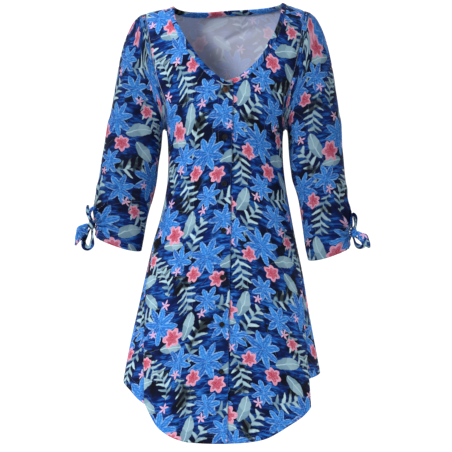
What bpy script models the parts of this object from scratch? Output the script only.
"""Shirt dress in printed jersey, filled out as if worn, with nobody in it.

Metres, +Z up. The dress faces -Y, and the wearer's right is at -X. Height 0 is the shoulder line.
"""

import math

import bmesh
import bpy
import numpy as np
from mathutils import Matrix, Vector

# Driving dimensions

CLOTH = 0.0020          # wall of every cloth piece
SEAM_GAP = 0.0003       # clearance where two panels meet
SLEEVE_GAP = 0.0007     # clearance round the armhole, where both walls twist
SHOULDER_ROUND = 0.085  # drop over which the chest turns from level to upright
TOP_HALF_WIDTH = 0.180  # half width that the shoulder line is measured on
FLATTENED = 0.15        # how much fuller than an ellipse the front and back are

BINDING_WIDTH = 0.0090
BINDING_PROUD = 0.0004  # how far the doubled strip stands above the panels
BINDING_BELOW = 0.0022

OVERLAP_EDGE = 0.0150   # edge of the upper front, past the button line
UNDERLAP_EDGE = 0.0170  # edge of the lower front, past it the other way
UNDER_DEPTH = 0.0030    # how deep the lower front runs under the upper one
UNDER_FROM = 0.0420     # where it starts to go under
UNDER_FULL = 0.0210     # where it is all the way under
UNDER_NECK_SLOPE = 0.40  # how steeply its neck edge runs on down, once it is under

BUTTON_COUNT = 7
BUTTON_FIRST = -0.1670  # height of the top button
BUTTON_PITCH = 0.0958
BUTTON_RADIUS = 0.0058
BUTTON_THICK = 0.0022
BUTTON_RIM = 0.0012     # width of the raised rim
BUTTON_DISH = 0.0005    # how deep the face is sunk inside the rim
BUTTON_SIDES = 14
HOLE_RADIUS = 0.0007
HOLE_OFFSET = 0.0011

ARM_STATIONS = 14       # steps along half an armhole, shared by the panels and the sleeve
FRONT_NECK_STATIONS = 9  # steps along the neck edge of one front
BACK_NECK_STATIONS = 7   # steps along half of the back's neck edge
SIDE_STATIONS = 24      # steps down a side seam
HALF_COLUMNS = 14       # steps across half of the body
SLEEVE_RINGS = 17

KNOT_RADII = (0.0070, 0.0075, 0.0088)
KNOT_SIDES = 10
TIE_THICK = 0.0020
TIE_STEPS = 3           # steps between two rows of a tie's path

# Sections of the body: height, half width to the wearer's right and left, depth to the front and back.
BODY_ROWS = (
    (0.0600, 0.180, 0.180, 0.094, 0.092),
    (-0.0600, 0.180, 0.180, 0.102, 0.096),
    (-0.1200, 0.170, 0.170, 0.110, 0.099),
    (-0.1850, 0.149, 0.149, 0.114, 0.098),
    (-0.2460, 0.1235, 0.1235, 0.109, 0.094),
    (-0.2940, 0.1195, 0.1215, 0.099, 0.086),
    (-0.3570, 0.1216, 0.1271, 0.095, 0.086),
    (-0.4180, 0.1330, 0.1378, 0.101, 0.098),
    (-0.4830, 0.1512, 0.1500, 0.108, 0.112),
    (-0.5380, 0.1630, 0.1610, 0.112, 0.119),
    (-0.6220, 0.1798, 0.1730, 0.117, 0.124),
    (-0.7160, 0.1985, 0.1885, 0.122, 0.128),
    (-0.7700, 0.2080, 0.1985, 0.125, 0.131),
    (-0.9100, 0.2290, 0.2190, 0.133, 0.139),
)

# Shoulder line seen from the front: place across, height.
SHOULDER_ROWS = (
    (-0.1900, -0.0090),
    (-0.1660, 0.0005),
    (-0.1070, 0.0140),
    (-0.0500, 0.0360),
    (0.0050, 0.0475),
    (0.0600, 0.0415),
    (0.1200, 0.0215),
    (0.1660, 0.0062),
    (0.1900, -0.0030),
)

# Inner edge of the neck in front: place across, height. The ends lie on the shoulder line.
NECK_RIGHT_ROWS = (
    (-0.1060, 0.0142),
    (-0.1035, -0.0130),
    (-0.0920, -0.0390),
    (-0.0735, -0.0700),
    (-0.0475, -0.1060),
    (-0.0200, -0.1340),
    (0.0020, -0.1490),
)
NECK_LEFT_ROWS = (
    (0.1190, 0.0218),
    (0.1145, -0.0090),
    (0.1030, -0.0430),
    (0.0880, -0.0690),
    (0.0730, -0.0970),
    (0.0490, -0.1220),
    (0.0240, -0.1405),
    (0.0020, -0.1490),
)
BACK_NECK_RUN = 0.0770  # from the shoulder line down the back to the neck edge, at the middle

# Armhole seam: height as a share of the way down, distance across on the front and on the back.
ARMHOLE_TOP = 0.1660
ARMHOLE_BOTTOM = -0.2460
ARMHOLE_ROWS = (
    (0.00, 0.1660, 0.1660),
    (0.12, 0.1615, 0.1625),
    (0.30, 0.1545, 0.1570),
    (0.48, 0.1455, 0.1510),
    (0.65, 0.1330, 0.1430),
    (0.78, 0.1215, 0.1340),
    (0.92, 0.1195, 0.1260),
    (1.00, 0.1235, 0.1235),
)

# Side seam: height, angle from the front on the wearer's right and left, in degrees.
SEAM_ROWS = (
    (-0.2460, 90.0, 90.0),
    (-0.4200, 88.0, 87.0),
    (-0.5200, 80.0, 79.0),
    (-0.6100, 69.0, 71.0),
    (-0.6800, 61.0, 66.5),
    (-0.7600, 54.0, 61.5),
    (-0.8300, 49.0, 58.0),
)
FRONT_CORNER_RIGHT = -0.8120
FRONT_CORNER_LEFT = -0.8190
BACK_CORNER_LEFT = -0.7620

# Hem of the front: angle from the button line, height on the wearer's right and left.
FRONT_HEM_ROWS = (
    (0.0, -0.8880, -0.8880),
    (13.0, -0.8870, -0.8850),
    (23.0, -0.8830, -0.8780),
    (32.0, -0.8700, -0.8640),
    (38.0, -0.8550, -0.8530),
    (44.0, -0.8310, -0.8430),
    (49.0, -0.8120, -0.8345),
    (58.0, -0.7970, -0.8190),
)

# Hem of the back: angle from the front, height on the wearer's right and left.
BACK_HEM_ROWS = (
    (49.0, -0.8120, -0.7660),
    (58.0, -0.7995, -0.7620),
    (68.0, -0.7830, -0.7580),
    (90.0, -0.7650, -0.7490),
    (112.0, -0.7680, -0.7560),
    (135.0, -0.8020, -0.7980),
    (158.0, -0.8520, -0.8500),
    (180.0, -0.8680, -0.8680),
)

# Soft folds of the skirt: angle from the front, half width in degrees, height where it starts,
# rise at the hem.
FOLD_ROWS = (
    (-78.0, 15.0, -0.44, 0.0070),
    (-40.0, 13.0, -0.56, 0.0050),
    (-14.0, 11.0, -0.66, 0.0030),
    (19.0, 11.0, -0.62, 0.0035),
    (47.0, 12.0, -0.50, 0.0060),
    (80.0, 14.0, -0.46, 0.0060),
    (108.0, 11.0, -0.50, 0.0060),
    (139.0, 12.0, -0.42, 0.0080),
    (171.0, 11.0, -0.50, 0.0065),
    (203.0, 12.0, -0.44, 0.0080),
    (238.0, 13.0, -0.48, 0.0070),
)

BUST_ANGLE = 29.0
BUST_HEIGHT = -0.2150
BUST_RISE = 0.0075
BUST_SPREAD = (19.0, 0.060)

# Sleeve on the wearer's right: outer edge across and height, inner edge across and height,
# middle of the depth, half depth to the front and to the back.
SLEEVE_RIGHT_ROWS = (
    (0, -0.1660, 0.0005, -0.1235, -0.2460, 0.000, 0.0640, 0.0600),
    (1, -0.1795, -0.0055, -0.1264, -0.2430, -0.001, 0.0640, 0.0610),
    (2, -0.1940, -0.0220, -0.1302, -0.2465, -0.002, 0.0620, 0.0610),
    (3, -0.2090, -0.0550, -0.1318, -0.2615, -0.003, 0.0600, 0.0600),
    (4, -0.2200, -0.0950, -0.1335, -0.2820, -0.004, 0.0585, 0.0590),
    (5, -0.2275, -0.1370, -0.1365, -0.3000, -0.005, 0.0570, 0.0575),
    (6, -0.2350, -0.1840, -0.1400, -0.3225, -0.007, 0.0555, 0.0560),
    (7, -0.2435, -0.2280, -0.1425, -0.3430, -0.009, 0.0545, 0.0550),
    (8, -0.2525, -0.2720, -0.1455, -0.3660, -0.012, 0.0530, 0.0535),
    (9, -0.2598, -0.3180, -0.1508, -0.3890, -0.015, 0.0515, 0.0520),
    (10, -0.2650, -0.3520, -0.1572, -0.4080, -0.018, 0.0500, 0.0505),
    (11, -0.2690, -0.3850, -0.1622, -0.4290, -0.021, 0.0490, 0.0490),
    (12, -0.2708, -0.4150, -0.1662, -0.4520, -0.024, 0.0480, 0.0480),
    (13, -0.2672, -0.4410, -0.1700, -0.4760, -0.027, 0.0475, 0.0470),
    (14, -0.2700, -0.4640, -0.1738, -0.4960, -0.029, 0.0475, 0.0465),
)
SLEEVE_LEFT_ROWS = (
    (0, 0.1660, 0.0062, 0.1235, -0.2460, 0.000, 0.0640, 0.0600),
    (1, 0.1795, 0.0008, 0.1264, -0.2430, -0.001, 0.0640, 0.0610),
    (2, 0.1935, -0.0135, 0.1302, -0.2465, -0.002, 0.0620, 0.0610),
    (3, 0.2075, -0.0430, 0.1320, -0.2620, -0.003, 0.0600, 0.0600),
    (4, 0.2185, -0.0810, 0.1332, -0.2840, -0.004, 0.0585, 0.0590),
    (5, 0.2270, -0.1230, 0.1350, -0.3070, -0.005, 0.0570, 0.0575),
    (6, 0.2330, -0.1640, 0.1380, -0.3290, -0.007, 0.0555, 0.0560),
    (7, 0.2395, -0.2080, 0.1420, -0.3500, -0.009, 0.0545, 0.0550),
    (8, 0.2445, -0.2560, 0.1490, -0.3730, -0.012, 0.0530, 0.0535),
    (9, 0.2480, -0.3030, 0.1545, -0.3960, -0.015, 0.0515, 0.0520),
    (10, 0.2520, -0.3480, 0.1585, -0.4200, -0.018, 0.0500, 0.0505),
    (11, 0.2570, -0.3900, 0.1615, -0.4440, -0.021, 0.0490, 0.0490),
    (12, 0.2605, -0.4250, 0.1645, -0.4690, -0.024, 0.0480, 0.0480),
    (13, 0.2585, -0.4560, 0.1680, -0.4940, -0.027, 0.0475, 0.0470),
    (14, 0.2605, -0.4860, 0.1728, -0.5150, -0.029, 0.0475, 0.0465),
)
CUFF_DIP = 0.0085       # how much lower the cuff is at the front than at its edges
CAP_ROWS = 5.0          # sleeve rows over which the armhole's shape fades into a plain tube

# Sleeve folds: place along the sleeve, place round it in degrees from the outer edge, half length
# along it, half width in degrees, slant in degrees a row, rise.
SLEEVE_FOLD_ROWS = (
    (4.6, 62.0, 1.6, 22.0, 16.0, 0.0035),
    (5.6, 140.0, 1.5, 20.0, 18.0, 0.0030),
    (8.8, 120.0, 1.2, 24.0, 14.0, 0.0035),
    (9.6, 60.0, 1.3, 22.0, -14.0, 0.0030),
    (5.0, 236.0, 1.6, 24.0, -16.0, 0.0035),
    (8.9, 226.0, 1.3, 24.0, -14.0, 0.0035),
    (10.0, 300.0, 1.3, 22.0, 14.0, 0.0030),
)

# Gathers that run into the cuff from the knot: place round the sleeve in degrees, half width, rise.
GATHER_ROWS = (
    (29.0, 5.5, 0.0022),
    (44.0, 6.0, 0.0022),
    (62.0, 7.0, 0.0018),
    (-5.0, 5.5, 0.0022),
    (-20.0, 6.0, 0.0022),
    (-38.0, 7.0, 0.0018),
)
GATHER_FROM = 11.2
GATHER_FULL = 13.0

# Cuff ties. Each strip's path, from the middle of the knot: away from the arm, forward, up,
# width of the strip, and how far its flat side is turned to the front, in degrees.
KNOT_RIGHT = (12.95, 12.0, 0.0026)  # place along the sleeve, round it in degrees, rest off the cuff
KNOT_LEFT = (13.05, 12.0, 0.0020)
TIE_RIGHT = {
    "loop_up": (
        (0.0010, 0.0030, 0.0095, 0.0050, 5.0),
        (0.0045, 0.0085, 0.0190, 0.0085, 25.0),
        (0.0025, 0.0135, 0.0290, 0.0095, 35.0),
        (-0.0040, 0.0180, 0.0330, 0.0095, 35.0),
        (-0.0095, 0.0215, 0.0270, 0.0090, 35.0),
        (-0.0085, 0.0190, 0.0165, 0.0080, 25.0),
        (-0.0032, 0.0100, 0.0085, 0.0050, 5.0),
    ),
    "tip_up": (
        (0.0046, -0.0010, 0.0080, 0.0045, 50.0),
        (0.0093, -0.0030, 0.0200, 0.0060, 60.0),
        (0.0105, -0.0035, 0.0300, 0.0065, 60.0),
        (0.0095, -0.0030, 0.0400, 0.0045, 60.0),
    ),
    "loop_down": (
        (0.0045, 0.0000, -0.0082, 0.0050, 5.0),
        (0.0110, 0.0005, -0.0190, 0.0080, 30.0),
        (0.0180, 0.0010, -0.0330, 0.0100, 45.0),
        (0.0165, 0.0015, -0.0455, 0.0100, 50.0),
        (0.0090, 0.0020, -0.0500, 0.0100, 50.0),
        (0.0020, 0.0025, -0.0440, 0.0100, 50.0),
        (0.0000, 0.0030, -0.0310, 0.0085, 40.0),
        (0.0002, 0.0025, -0.0185, 0.0060, 25.0),
        (0.0000, 0.0015, -0.0094, 0.0045, 5.0),
    ),
    "tail": (
        (0.0083, 0.0010, -0.0005, 0.0060, 55.0),
        (0.0145, 0.0020, -0.0055, 0.0120, 65.0),
        (0.0220, 0.0030, -0.0140, 0.0170, 70.0),
        (0.0285, 0.0040, -0.0280, 0.0110, 70.0),
        (0.0350, 0.0050, -0.0440, 0.0030, 70.0),
    ),
}
TIE_LEFT = {
    "loop_up": (
        (0.0015, 0.0015, 0.0092, 0.0050, 5.0),
        (0.0055, 0.0025, 0.0190, 0.0080, 25.0),
        (0.0050, 0.0035, 0.0320, 0.0090, 30.0),
        (0.0000, 0.0050, 0.0390, 0.0090, 30.0),
        (-0.0035, 0.0080, 0.0320, 0.0085, 30.0),
        (-0.0035, 0.0095, 0.0190, 0.0070, 25.0),
        (-0.0022, 0.0065, 0.0092, 0.0050, 5.0),
    ),
    "tip_up": (
        (0.0040, -0.0022, 0.0079, 0.0045, 45.0),
        (0.0060, -0.0070, 0.0180, 0.0060, 50.0),
        (0.0050, -0.0095, 0.0270, 0.0060, 50.0),
        (0.0030, -0.0115, 0.0340, 0.0040, 50.0),
    ),
    "loop_down": (
        (0.0045, -0.0010, -0.0080, 0.0050, 5.0),
        (0.0120, -0.0010, -0.0125, 0.0085, 30.0),
        (0.0210, -0.0005, -0.0190, 0.0100, 40.0),
        (0.0220, 0.0005, -0.0270, 0.0100, 45.0),
        (0.0140, 0.0015, -0.0290, 0.0100, 45.0),
        (0.0060, 0.0020, -0.0230, 0.0080, 35.0),
        (0.0005, 0.0015, -0.0095, 0.0050, 5.0),
    ),
    "tail": (
        (0.0073, 0.0020, 0.0005, 0.0060, 55.0),
        (0.0140, 0.0035, -0.0040, 0.0100, 65.0),
        (0.0215, 0.0050, -0.0110, 0.0150, 70.0),
        (0.0280, 0.0060, -0.0210, 0.0120, 70.0),
        (0.0340, 0.0065, -0.0310, 0.0030, 70.0),
    ),
}

NAVY = (0.020, 0.045, 0.180, 1.0)
BLUE = (0.030, 0.130, 0.420, 1.0)
HORN = (0.012, 0.010, 0.010, 1.0)


# Tables and small helpers

def read_table(rows, column, at):
    """One column of a table at the given places, by a smooth curve through its rows."""
    table = np.array(rows, float)
    order = np.argsort(table[:, 0])
    places = table[order, 0]
    values = table[order, column]
    slopes = np.gradient(values, places)
    at = np.clip(np.asarray(at, float), places[0], places[-1])
    index = np.clip(np.searchsorted(places, at) - 1, 0, len(places) - 2)
    step = places[index + 1] - places[index]
    t = (at - places[index]) / step
    start = (1 + 2 * t) * (1 - t) ** 2 * values[index] + t * (1 - t) ** 2 * step * slopes[index]
    end = t * t * (3 - 2 * t) * values[index + 1] + t * t * (t - 1) * step * slopes[index + 1]
    return start + end


def ease(low, high, value):
    """0 below low, 1 above high and a smooth step between."""
    t = np.clip((np.asarray(value, float) - low) / (high - low), 0.0, 1.0)
    return t * t * (3 - 2 * t)


def bump(value, half_width):
    """1 at zero, falling smoothly to nothing at about twice the half width."""
    return np.exp(-((value / half_width) ** 2))


def turned(angle, middle):
    """Difference between two angles in degrees, from -180 to 180."""
    return (angle - middle + 180.0) % 360.0 - 180.0


def unit(vectors):
    return vectors / np.linalg.norm(vectors, axis=-1, keepdims=True)


# Form of the body

def run_of_drop(drop):
    """Run down the cloth from the shoulder line, for a drop in height below it."""
    drop = np.maximum(np.asarray(drop, float), 0.0)
    round_part = SHOULDER_ROUND * np.arccos(np.clip(1 - drop / SHOULDER_ROUND, 0.0, 1.0))
    return round_part + np.maximum(drop - SHOULDER_ROUND, 0.0)


def drop_of_run(run):
    run = np.abs(run)
    quarter = SHOULDER_ROUND * math.pi / 2
    round_part = SHOULDER_ROUND * (1 - np.cos(np.minimum(run, quarter) / SHOULDER_ROUND))
    return round_part + np.maximum(run - quarter, 0.0)


def shoulder_height(angle):
    return read_table(SHOULDER_ROWS, 1, np.sin(angle) * TOP_HALF_WIDTH)


def run_at(angle, height):
    return run_of_drop(shoulder_height(angle) - height)


def half_width(angle, height):
    return np.where(np.sin(angle) < 0, read_table(BODY_ROWS, 1, height), read_table(BODY_ROWS, 2, height))


def angle_at(across, height, behind=False):
    """Angle round the body, from the front, of a place across at a height."""
    width = half_width(np.sign(across) * 0.1, height)
    angle = np.arcsin(np.clip(across / width, -1.0, 1.0))
    return np.where(across < 0, -math.pi, math.pi) - angle if behind else angle


def soft_form(angle, height):
    """How far the cloth stands out from the plain sections: bust and skirt folds."""
    degrees = np.degrees(angle)
    rise = np.zeros(np.broadcast(angle, height).shape)
    for middle, width, start, most in FOLD_ROWS:
        round_it = bump(turned(degrees, middle), width)
        rise = rise + most * round_it * ease(start, start - 0.30, height)
    for side in (-1, 1):
        round_it = bump(turned(degrees, side * BUST_ANGLE), BUST_SPREAD[0])
        rise = rise + BUST_RISE * round_it * bump(height - BUST_HEIGHT, BUST_SPREAD[1])
    return rise


def body_point(angle, run):
    """Outer face of the cloth at an angle round the body and a run down it."""
    angle, run = np.broadcast_arrays(np.asarray(angle, float), np.asarray(run, float))
    height = shoulder_height(angle) - drop_of_run(run)
    forward = np.cos(angle)
    depth = np.where(forward > 0, read_table(BODY_ROWS, 3, height), read_table(BODY_ROWS, 4, height))
    turn = np.sin(np.clip(run / SHOULDER_ROUND, -math.pi / 2, math.pi / 2))
    fuller = 1 + FLATTENED * np.sin(angle) ** 2
    rise = soft_form(angle, height) * np.abs(turn)
    across = half_width(angle, height) * np.sin(angle) + rise * np.sin(angle)
    back = -(depth * fuller * forward + rise * forward) * turn
    return np.stack([across, back, height], axis=-1)


def body_normal(angle, run):
    step_angle, step_run = 1e-3, 1e-4
    round_it = body_point(angle + step_angle, run) - body_point(angle - step_angle, run)
    down_it = body_point(angle, run + step_run) - body_point(angle, run - step_run)
    return unit(np.cross(down_it, round_it))


def button_line(height):
    """Place across of the button line, which leans a little to the wearer's right going down."""
    return 0.0020 - 0.0125 * (0.15 + height) / -0.75


def under_depth(point):
    """How far the lower front is sunk below the form at a point, so that it passes under the upper one."""
    return UNDER_DEPTH * ease(UNDER_FROM, UNDER_FULL, point[..., 0] - button_line(point[..., 2]))


# Edges, as (angle, run) pairs

def along(points, stations):
    """Points spread evenly along a line, by its length."""
    lengths = np.concatenate([[0.0], np.cumsum(np.linalg.norm(np.diff(points, axis=0), axis=1))])
    at = np.linspace(0.0, lengths[-1], stations + 1)
    return np.stack([np.interp(at, lengths, points[:, i]) for i in range(points.shape[1])], axis=1)


def neck_line(side, out, end_across):
    """Neck edge in front as (across, run), moved out from the inner edge, to a place past the middle."""
    rows = np.array(NECK_RIGHT_ROWS if side < 0 else NECK_LEFT_ROWS)
    share = np.linspace(0, len(rows) - 1, 161)
    numbered = [(i, *row) for i, row in enumerate(rows)]
    across = read_table(numbered, 1, share)
    height = read_table(numbered, 2, share)
    run = run_of_drop(read_table(SHOULDER_ROWS, 1, across) - height)
    run[0] = 0.0
    beyond = -side * np.linspace(0.0, 0.03, 31)[1:]
    across = np.concatenate([across, across[-1] + beyond])
    past_it = -3.0 * beyond ** 2 if side < 0 else UNDER_NECK_SLOPE * np.abs(beyond)
    run = np.concatenate([run, run[-1] + past_it])
    line = np.stack([across, run], axis=1)
    way = unit(np.gradient(line, axis=0))
    way[0] = (0.0, 1.0)
    outward = np.stack([side * way[:, 1], -side * way[:, 0]], axis=1)
    line = line + out * outward
    inside = (line[:, 0] - end_across) * side >= 0
    return line[inside]


def shoulder_edge(side, out):
    rows = NECK_RIGHT_ROWS if side < 0 else NECK_LEFT_ROWS
    return rows[0][0] + side * out


def back_neck_line(side, out):
    """Neck edge at the back as (across, run), from the shoulder line to the middle."""
    turn = np.linspace(0.0, math.pi / 2, 61)
    start = abs(shoulder_edge(side, out))
    return np.stack([side * start * np.cos(turn), (BACK_NECK_RUN + out) * np.sin(turn)], axis=1)


def place_on_body(across, run, behind=False):
    """(angle, run) of a place that is given across and by its run, in the wide part above the armholes."""
    sine = np.clip(across / TOP_HALF_WIDTH, -1.0, 1.0)
    for _ in range(12):
        height = read_table(SHOULDER_ROWS, 1, sine * TOP_HALF_WIDTH) - drop_of_run(run)
        sine = np.clip(across / half_width(np.sign(across) * 0.1, height), -1.0, 1.0)
    angle = np.arcsin(sine)
    if behind:
        angle = np.where(across < 0, -math.pi, math.pi) - angle
    return np.stack([angle, run + 0.0 * angle], axis=1)


def armhole_edge(side, behind):
    """Armhole seam from the shoulder tip to the underarm, as (angle, run)."""
    turn = np.linspace(0.0, math.pi, ARM_STATIONS + 1)
    share = (1 - np.cos(turn)) / 2
    across = side * read_table(ARMHOLE_ROWS, 2 if behind else 1, share)
    top = read_table(SHOULDER_ROWS, 1, side * ARMHOLE_TOP)
    height = top + (ARMHOLE_BOTTOM - top) * share
    angle = angle_at(across, height, behind)
    run = run_at(angle, height)
    run[0] = 0.0
    return np.stack([angle, run], axis=1)


def side_seam(side, lowest):
    """Side seam from the underarm down, as (angle, run)."""
    share = np.linspace(0.0, 1.0, SIDE_STATIONS + 1)
    height = ARMHOLE_BOTTOM + (lowest - ARMHOLE_BOTTOM) * share
    angle = side * np.radians(read_table(SEAM_ROWS, 1 if side < 0 else 2, height))
    return np.stack([angle, run_at(angle, height)], axis=1)


# Panels

def panel_grid(inner, outer, hem):
    """Rows from the shoulder to the hem between two edges, with the last row bent to the hem."""
    share = np.linspace(0.0, 1.0, HALF_COLUMNS + 1)[None, :, None]
    grid = inner[:, None, :] * (1 - share) + outer[:, None, :] * share
    bend = hem(grid[-1, :, 0]) - grid[-1, :, 1]
    down = np.linspace(0.0, 1.0, len(inner))
    grid[:, :, 1] += ease(0.45, 1.0, down)[:, None] * bend[None, :]
    return grid


def front_grid(side):
    """(angle, run) grid of one front: neck and button edge at one side, armhole and seam at the other."""
    lap = OVERLAP_EDGE if side < 0 else -UNDERLAP_EDGE
    neck = along(neck_line(side, BINDING_WIDTH + SEAM_GAP, 0.002 + lap), FRONT_NECK_STATIONS)
    neck = place_on_body(neck[:, 0], neck[:, 1])
    start = body_point(neck[-1, 0], neck[-1, 1])[2]
    share = np.linspace(0.0, 1.0, ARM_STATIONS + SIDE_STATIONS - FRONT_NECK_STATIONS + 1)[1:]
    hem_height = FRONT_HEM_ROWS[0][1]
    height = start + (hem_height - start) * share
    edge_angle = angle_at(button_line(height) + lap, height)
    inner = np.concatenate([neck, np.stack([edge_angle, run_at(edge_angle, height)], axis=1)])
    lowest = FRONT_CORNER_RIGHT if side < 0 else FRONT_CORNER_LEFT
    outer = np.concatenate([armhole_edge(side, False), side_seam(side, lowest)[1:]])
    outer[ARM_STATIONS:, 0] -= side * SEAM_GAP / 2 / 0.12
    inner[0, 1] = outer[0, 1] = SEAM_GAP

    def hem(angle):
        degrees = np.abs(np.degrees(angle))
        return run_at(angle, read_table(FRONT_HEM_ROWS, 1 if side < 0 else 2, degrees))

    return panel_grid(inner, outer, hem)


def back_half_grid(side):
    """(angle, run) grid of one half of the back, from its middle to the armhole and seam."""
    neck = along(back_neck_line(side, BINDING_WIDTH + SEAM_GAP), BACK_NECK_STATIONS)
    neck = place_on_body(neck[:, 0], neck[:, 1], behind=True)
    neck[-1, 0] = side * math.pi
    start = neck[-1, 1]
    middle_hem = run_at(math.pi, BACK_HEM_ROWS[-1][1])
    share = np.linspace(0.0, 1.0, ARM_STATIONS + SIDE_STATIONS - BACK_NECK_STATIONS + 1)[1:]
    run = start + (middle_hem - start) * share
    inner = np.concatenate([neck, np.stack([np.full_like(run, side * math.pi), run], axis=1)])
    lowest = FRONT_CORNER_RIGHT if side < 0 else BACK_CORNER_LEFT
    outer = np.concatenate([armhole_edge(side, True), side_seam(side, lowest)[1:]])
    outer[ARM_STATIONS:, 0] += side * SEAM_GAP / 2 / 0.12
    inner[0, 1] = outer[0, 1] = SEAM_GAP

    def hem(angle):
        degrees = np.abs(np.degrees(angle))
        return run_at(angle, read_table(BACK_HEM_ROWS, 1 if side < 0 else 2, degrees))

    return panel_grid(inner, outer, hem)


def faces_of_grid(grid, sunk=None):
    """Outer and inner points of a cloth wall on the body's form."""
    outer = body_point(grid[..., 0], grid[..., 1])
    normal = body_normal(grid[..., 0], grid[..., 1])
    if sunk is not None:
        outer = outer - normal * sunk(outer)[..., None]
    return outer, outer - normal * CLOTH


# Solids

def new_collection(name):
    collection = bpy.data.collections.new(name)
    bpy.context.scene.collection.children.link(collection)
    return collection


def new_material(name, colour, roughness):
    material = bpy.data.materials.new(name)
    material.use_nodes = True
    shader = material.node_tree.nodes["Principled BSDF"]
    shader.inputs["Base Color"].default_value = colour
    shader.inputs["Roughness"].default_value = roughness
    shader.inputs["Metallic"].default_value = 0.0
    return material


def add_object(name, mesh, collection, colour, roughness=0.85):
    mesh.materials.append(new_material(name, colour, roughness))
    thing = bpy.data.objects.new(name, mesh)
    collection.objects.link(thing)
    return thing


def split_short(points, a, b, c, d):
    """Two triangles of a four-sided face, parted along its shorter diagonal."""
    across = np.linalg.norm(points[a][0] - points[c][0])
    along_it = np.linalg.norm(points[b][0] - points[d][0])
    return [(a, b, c), (a, c, d)] if across <= along_it else [(a, b, d), (b, c, d)]


def add_wall(name, patches, collection, colour, closed=False):
    """Closed cloth wall over patches of (outer, inner) point grids, which join where outer points agree.

    With closed set, the columns of a patch run round a tube.
    """
    numbers = {}
    points = []
    faces = []
    for outer, inner in patches:
        rows, columns = outer.shape[:2]
        index = np.empty((rows, columns), int)
        for i in range(rows):
            for j in range(columns):
                key = tuple(np.round(outer[i, j], 7) + 0.0)
                if key not in numbers:
                    numbers[key] = len(numbers)
                    points.append((outer[i, j], inner[i, j]))
                index[i, j] = numbers[key]
        last = columns if closed else columns - 1
        for i in range(rows - 1):
            for j in range(last):
                k = (j + 1) % columns
                faces += split_short(points, index[i, j], index[i + 1, j], index[i + 1, k], index[i, k])
    count = len(points)
    edges = [(face[i], face[(i + 1) % 3]) for face in faces for i in range(3)]
    known = set(edges)
    border = [edge for edge in edges if edge[::-1] not in known]
    under = [tuple(number + count for number in face[::-1]) for face in faces]
    sides = [(b, a, a + count, b + count) for a, b in border]
    mesh = bpy.data.meshes.new(name)
    both_sides = [pair[0] for pair in points] + [pair[1] for pair in points]
    mesh.from_pydata(both_sides, [], faces + under + sides)
    face_outward(mesh)
    return add_object(name, mesh, collection, colour)


def face_outward(mesh):
    shell = bmesh.new()
    shell.from_mesh(mesh)
    bmesh.ops.recalc_face_normals(shell, faces=shell.faces)
    if shell.calc_volume(signed=True) < 0:
        bmesh.ops.reverse_faces(shell, faces=shell.faces)
    shell.to_mesh(mesh)
    shell.free()


def add_panels(collection):
    add_wall("front_right", [faces_of_grid(front_grid(-1))], collection, NAVY)
    add_wall("front_left", [faces_of_grid(front_grid(1), under_depth)], collection, BLUE)
    halves = [faces_of_grid(back_half_grid(-1)[:, ::-1]), faces_of_grid(back_half_grid(1))]
    add_wall("back", halves, collection, NAVY)


def add_binding(collection):
    """One strip round the neck, from the end on the upper front to the end under it."""
    edges = []
    for out in (0.0, BINDING_WIDTH):
        right = along(neck_line(-1, out, 0.002 + OVERLAP_EDGE), FRONT_NECK_STATIONS)
        left = along(neck_line(1, out, 0.002 - UNDERLAP_EDGE), FRONT_NECK_STATIONS)
        right_back = along(back_neck_line(-1, out), BACK_NECK_STATIONS)
        left_back = along(back_neck_line(1, out), BACK_NECK_STATIONS)
        pieces = [
            place_on_body(right[::-1, 0], right[::-1, 1]),
            place_on_body(right_back[1:, 0], right_back[1:, 1], behind=True),
            place_on_body(left_back[-2:0:-1, 0], left_back[-2:0:-1, 1], behind=True),
            place_on_body(left[:, 0], left[:, 1]),
        ]
        edges.append(np.concatenate(pieces))
    grid = np.stack(edges, axis=1)
    outer = body_point(grid[..., 0], grid[..., 1])
    normal = body_normal(grid[..., 0], grid[..., 1])
    on_left_front = np.zeros(outer.shape[:2])
    on_left_front[-(FRONT_NECK_STATIONS + 1):] = 1.0
    outer = outer - normal * (under_depth(outer) * on_left_front)[..., None]
    top = outer + normal * BINDING_PROUD
    below = outer - normal * BINDING_BELOW
    add_wall("neck_binding", [(top, below)], collection, BLUE)


# Sleeves

def plain_tube(rows, along_it, turn):
    """Sleeve as plain slanting rings: turn is 0 at the outer edge, 90 degrees at the front."""
    outer_x, outer_z = read_table(rows, 1, along_it), read_table(rows, 2, along_it)
    inner_x, inner_z = read_table(rows, 3, along_it), read_table(rows, 4, along_it)
    forward = np.sin(turn)
    depth = np.where(forward > 0, read_table(rows, 6, along_it), read_table(rows, 7, along_it))
    swing = np.cos(turn)
    across = (outer_x + inner_x) / 2 + (outer_x - inner_x) / 2 * swing
    height = (outer_z + inner_z) / 2 + (outer_z - inner_z) / 2 * swing
    height = height - CUFF_DIP * ease(10.5, 14.0, along_it) * forward
    back = read_table(rows, 5, along_it) - depth * forward * (1 + 0.10 * swing ** 2)
    return np.stack([across, back, height], axis=-1)


def armhole_loop(side):
    """Points and normals round the whole armhole: down the front, then up the back."""
    front = armhole_edge(side, False)
    back = armhole_edge(side, True)[::-1]
    loop = np.concatenate([front, back[1:-1]])
    points = body_point(loop[:, 0], loop[:, 1])
    normals = body_normal(loop[:, 0], loop[:, 1])
    way = unit(np.roll(points, -1, axis=0) - np.roll(points, 1, axis=0))
    away = unit(np.cross(normals, way)) * side
    return points, normals, away


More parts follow.
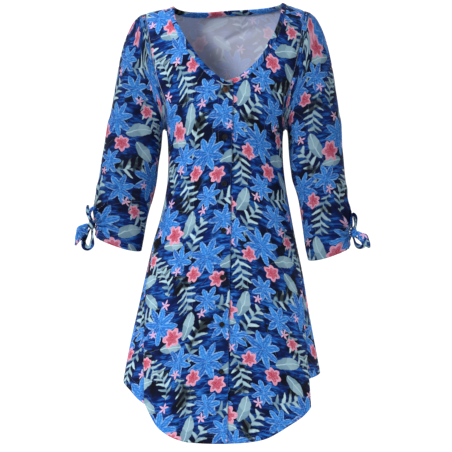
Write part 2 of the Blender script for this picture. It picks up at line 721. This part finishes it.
def sleeve_folds(along_it, degrees):
    rise = np.zeros(np.broadcast(along_it, degrees).shape)
    for place, middle, length, width, slant, most in SLEEVE_FOLD_ROWS:
        off = turned(degrees, middle + slant * (along_it - place))
        rise = rise + most * bump(off, width) * bump(along_it - place, length)
    for middle, width, most in GATHER_ROWS:
        round_it = bump(turned(degrees, middle), width)
        rise = rise + most * round_it * ease(GATHER_FROM, GATHER_FULL, along_it)
    return rise


def sleeve_point(side, along_it, turn, loop_rest):
    """Outer face of a sleeve. loop_rest is how the armhole differs from the first plain ring."""
    rows = SLEEVE_RIGHT_ROWS if side < 0 else SLEEVE_LEFT_ROWS
    point = plain_tube(rows, along_it, turn)
    fade = 1 - ease(0.0, CAP_ROWS, along_it)
    point = point + fade[..., None] * loop_rest
    rise = sleeve_folds(along_it, np.degrees(turn))
    outward = np.stack([side * np.cos(turn), -np.sin(turn), 0.0 * turn], axis=-1)
    return point + rise[..., None] * outward


def add_sleeve(side, name, collection, colour):
    rows = SLEEVE_RIGHT_ROWS if side < 0 else SLEEVE_LEFT_ROWS
    points, normals, away = armhole_loop(side)
    turn_step = math.pi / ARM_STATIONS
    turn = np.arange(2 * ARM_STATIONS) * turn_step
    rest = points + away * SLEEVE_GAP - plain_tube(rows, np.zeros_like(turn), turn)
    places = np.concatenate([[0.0, 0.5], np.linspace(1.0, rows[-1][0], SLEEVE_RINGS - 2)])
    along_it, turns = np.meshgrid(places, turn, indexing="ij")
    outer = sleeve_point(side, along_it, turns, rest[None])
    step = 0.02
    next_rest = np.roll(rest, -1, axis=0)[None]
    last_rest = np.roll(rest, 1, axis=0)[None]
    round_it = (sleeve_point(side, along_it, turns + turn_step, next_rest)
                - sleeve_point(side, along_it, turns - turn_step, last_rest))
    down_it = (sleeve_point(side, along_it + step, turns, rest[None])
               - sleeve_point(side, np.maximum(along_it - step, 0.0), turns, rest[None]))
    normal = unit(np.cross(round_it, down_it)) * -side
    seam_share = (1 - ease(0.0, 0.8, along_it))[..., None]
    normal = unit(seam_share * normals[None] + (1 - seam_share) * normal)
    add_wall(name, [(outer, outer - normal * CLOTH)], collection, colour, closed=True)


# Cuff ties

def add_knot(name, middle, collection):
    """Knot of the strip: a small rounded lump with a waist round it."""
    lump = bmesh.new()
    bmesh.ops.create_uvsphere(lump, u_segments=KNOT_SIDES, v_segments=KNOT_SIDES - 2, radius=1.0)
    for vert in lump.verts:
        pinch = 1 - 0.12 * math.exp(-((vert.co.z / 0.25) ** 2))
        vert.co.x *= pinch * KNOT_RADII[0]
        vert.co.y *= pinch * KNOT_RADII[1]
        vert.co.z *= KNOT_RADII[2]
    bmesh.ops.translate(lump, verts=lump.verts, vec=middle)
    mesh = bpy.data.meshes.new(name)
    lump.to_mesh(mesh)
    lump.free()
    add_object(name, mesh, collection, NAVY)


def add_strip(name, side, knot, path, collection):
    """Flat strip of cloth along a path, as a closed solid of four sides."""
    rows = [(i, *row) for i, row in enumerate(path)]
    at = np.linspace(0, len(path) - 1, (len(path) - 1) * TIE_STEPS + 1)
    away, forward, up, width, turn = (read_table(rows, column, at) for column in range(1, 6))
    line = np.array(knot) + np.stack([side * away, -forward, up], axis=1)
    way = unit(np.gradient(line, axis=0))
    depth = np.array([0.0, -1.0, 0.0])
    in_plane = unit(np.cross(way, depth))
    turn = np.radians(turn)[:, None]
    across = unit(np.cos(turn) * depth + np.sin(turn) * in_plane)
    through = unit(np.cross(way, across))
    half = width[:, None] / 2
    thick = TIE_THICK / 2
    ends = ((1, 1), (1, -1), (-1, -1), (-1, 1))
    corners = [line + i * half * across + j * thick * through for i, j in ends]
    points = np.stack(corners, axis=1).reshape(-1, 3)
    steps = len(line)
    faces = [(4 * i + j, 4 * i + (j + 1) % 4, 4 * i + 4 + (j + 1) % 4, 4 * i + 4 + j)
             for i in range(steps - 1) for j in range(4)]
    faces += [(3, 2, 1, 0), tuple(4 * (steps - 1) + j for j in range(4))]
    mesh = bpy.data.meshes.new(name)
    mesh.from_pydata(points, [], faces)
    face_outward(mesh)
    add_object(name, mesh, collection, BLUE)


def knot_middle(side, place):
    """Middle of a knot that rests on the cuff."""
    along_it = np.array(place[0])
    turn = np.radians(place[1])
    point = sleeve_point(side, along_it, turn, np.zeros(3))
    out = np.array([side * math.cos(turn), -math.sin(turn), 0.0])
    return point + out * (KNOT_RADII[0] + place[2])


def add_tie(side, name, place, strips, collection):
    knot = knot_middle(side, place)
    add_knot(name + "_knot", knot, collection)
    for strip, path in strips.items():
        add_strip(name + "_" + strip, side, knot, path, collection)


# Buttons

def button_mesh(cutters):
    """Four-hole button, its back at height 0 and its face up, turned from a profile and bored."""
    rim_in = BUTTON_RADIUS - BUTTON_RIM
    profile = (
        (0.0, 0.0),
        (BUTTON_RADIUS - 0.0006, 0.0),
        (BUTTON_RADIUS, 0.0005),
        (BUTTON_RADIUS, BUTTON_THICK - 0.0004),
        (BUTTON_RADIUS - 0.0004, BUTTON_THICK),
        (rim_in + 0.0003, BUTTON_THICK),
        (rim_in - 0.0004, BUTTON_THICK - BUTTON_DISH),
        (0.0, BUTTON_THICK - BUTTON_DISH),
    )
    disc = bmesh.new()
    line = [disc.verts.new((radius, 0.0, height)) for radius, height in profile]
    edges = [disc.edges.new(pair) for pair in zip(line, line[1:])]
    bmesh.ops.spin(disc, geom=line + edges, axis=(0, 0, 1), cent=(0, 0, 0), angle=2 * math.pi,
                   steps=BUTTON_SIDES, use_merge=True)
    bmesh.ops.remove_doubles(disc, verts=disc.verts, dist=1e-6)
    mesh = bpy.data.meshes.new("button_blank")
    disc.to_mesh(mesh)
    disc.free()
    face_outward(mesh)
    bores = bmesh.new()
    for i in range(4):
        round_it = Matrix.Rotation(math.pi / 4 + i * math.pi / 2, 4, "Z")
        place = round_it @ Matrix.Translation((HOLE_OFFSET * math.sqrt(2), 0, 0))
        bmesh.ops.create_cone(bores, cap_ends=True, segments=5, radius1=HOLE_RADIUS, radius2=HOLE_RADIUS,
                              depth=4 * BUTTON_THICK, matrix=place)
    bore_mesh = bpy.data.meshes.new("button_bores")
    bores.to_mesh(bore_mesh)
    bores.free()
    cutter = bpy.data.objects.new("button_bores", bore_mesh)
    cutter.hide_render = True
    cutters.objects.link(cutter)
    blank = bpy.data.objects.new("button_blank", mesh)
    blank.hide_render = True
    cutters.objects.link(blank)
    bored = blank.modifiers.new("bore", "BOOLEAN")
    bored.operation = "DIFFERENCE"
    bored.solver = "EXACT"
    bored.object = cutter
    bpy.context.view_layer.update()
    graph = bpy.context.evaluated_depsgraph_get()
    finished = bpy.data.meshes.new_from_object(blank.evaluated_get(graph))
    finished.name = "button"
    return finished


def add_buttons(collection, cutters):
    pattern = button_mesh(cutters)
    horn = new_material("button_horn", HORN, 0.35)
    pattern.materials.append(horn)
    for i in range(BUTTON_COUNT):
        height = BUTTON_FIRST - i * BUTTON_PITCH
        angle = angle_at(button_line(height), height)
        run = run_at(angle, height)
        normal = Vector(body_normal(angle, run))
        place = Vector(body_point(angle, run)) + normal * 2 * SEAM_GAP
        button = bpy.data.objects.new(f"button_{i + 1}", pattern)
        facing = normal.to_track_quat("Z", "Y").to_matrix().to_4x4()
        button.matrix_world = Matrix.Translation(place) @ facing
        collection.objects.link(button)


def build():
    for thing in list(bpy.data.objects):
        bpy.data.objects.remove(thing, do_unlink=True)
    dress = new_collection("shirt_dress")
    add_panels(dress)
    add_binding(dress)
    add_sleeve(-1, "sleeve_right", dress, BLUE)
    add_sleeve(1, "sleeve_left", dress, BLUE)
    add_tie(-1, "tie_right", KNOT_RIGHT, TIE_RIGHT, dress)
    add_tie(1, "tie_left", KNOT_LEFT, TIE_LEFT, dress)
    add_buttons(dress, new_collection("cutters"))


build()
